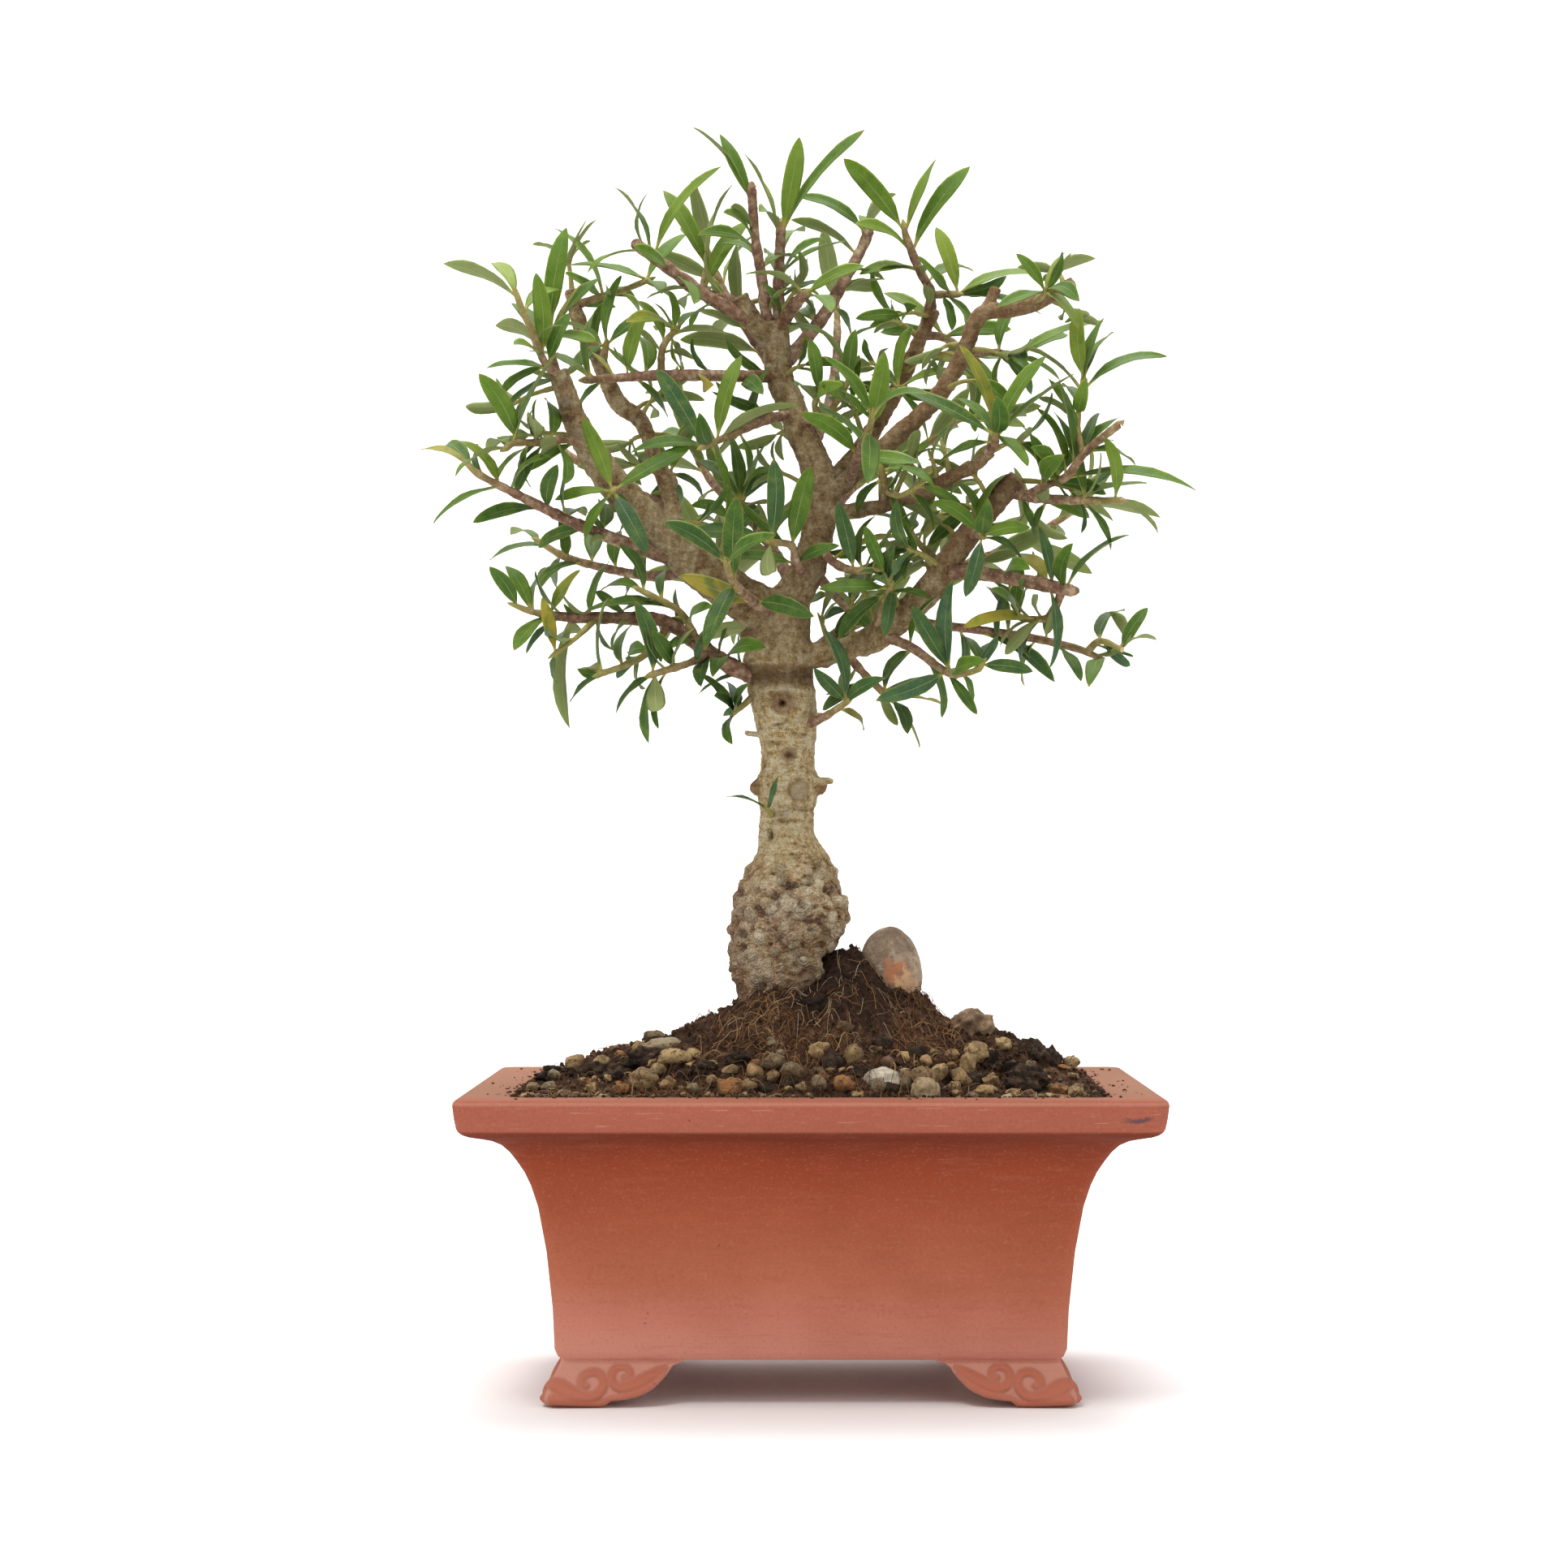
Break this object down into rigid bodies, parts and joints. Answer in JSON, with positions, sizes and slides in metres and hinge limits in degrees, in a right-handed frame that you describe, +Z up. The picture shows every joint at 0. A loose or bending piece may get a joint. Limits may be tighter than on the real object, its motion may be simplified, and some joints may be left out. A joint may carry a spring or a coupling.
{
  "type": "potted bonsai tree",
  "caption": "Small narrow-leaved mock privet bonsai with a swollen, knobbly trunk foot and an open round crown, in a rectangular clay pot with a flared rim and bracket feet.",
  "frame": {"origin": "middle of the object's outline on the surface that the pot stands on", "axes": "+Z up along the trunk, -Y towards the front of the pot, +X along the pot's long side to the right"},
  "size_m": [0.2322, 0.1657, 0.3866],
  "materials": {
    "terracotta": "matte",
    "soil": "matte",
    "bark": "matte",
    "stone": "matte",
    "pebble_pale": "matte",
    "pebble_tan": "matte",
    "pebble_grey": "matte",
    "leaf": "satin"
  },
  "bodies": {
    "root": {"pot": "terracotta", "soil": "soil", "tree": "bark", "stoneBesideTrunk": "stone", "pebbleWhite": "pebble_pale", "pebbleTan": "pebble_tan", "pebbleGrey": "pebble_grey", "pebbleLong": "pebble_pale", "leafyFarLeftLow": "leaf", "leafyFarLeftMid": "leaf", "leafyLeftHigh": "leaf", "leafyLeftTall": "leaf", "leafyLeftLow": "leaf", "leafyLeftShelf": "leaf", "leafyLeftSprout": "leaf", "leafyTopLeftStub": "leaf", "leafyTopLeftKnob": "leaf", "leafyTopLeftTwig": "leaf", "leafyTopLeftStalk": "leaf", "leafyTopStalk": "leaf", "leafyTopShort": "leaf", "leafyTopRightStalk": "leaf", "leafyRightCrown": "leaf", "leafyRightBackTwig": "leaf", "leafyRightStub": "leaf", "leafyRightWhorl": "leaf", "leafyRightEnd": "leaf", "leafyRightUpperTwig": "leaf", "leafyRightShelf": "leaf", "leafyRightLowShelf": "leaf", "leafyRightLowFront": "leaf", "leafyRightLowBack": "leaf", "leafyTrunkRightLow": "leaf", "leafyInnerRight": "leaf", "leafyInnerRightFront": "leaf", "leafyFrontMiddle": "leaf", "leafyFrontRight": "leaf", "leafyRightInner": "leaf", "leafyRightWhorlLow": "leaf", "leafyInnerLeftMid": "leaf", "leafyLeftArmWhorl": "leaf", "leafyLeftBeam": "leaf", "leafyLeftBackTwig": "leaf", "leafyInnerLeftBack": "leaf", "leafyLeftBackInner": "leaf", "leafyLeaderRight": "leaf", "leafyRightBackFan": "leaf", "leafyRightMidTwig": "leaf", "leafyTrunkSprout": "leaf", "leafyBackLow": "leaf", "leafyBackLowRight": "leaf", "leafyBackMidLeft": "leaf", "leafyBackMidRight": "leaf", "leafyBackHigh": "leaf", "leafyBackHighLeft": "leaf", "leafySideRightBack": "leaf", "leafySideLeftBack": "leaf", "leafyFrontLow": "leaf", "leafyFrontHigh": "leaf"}
  },
  "joints": []
}
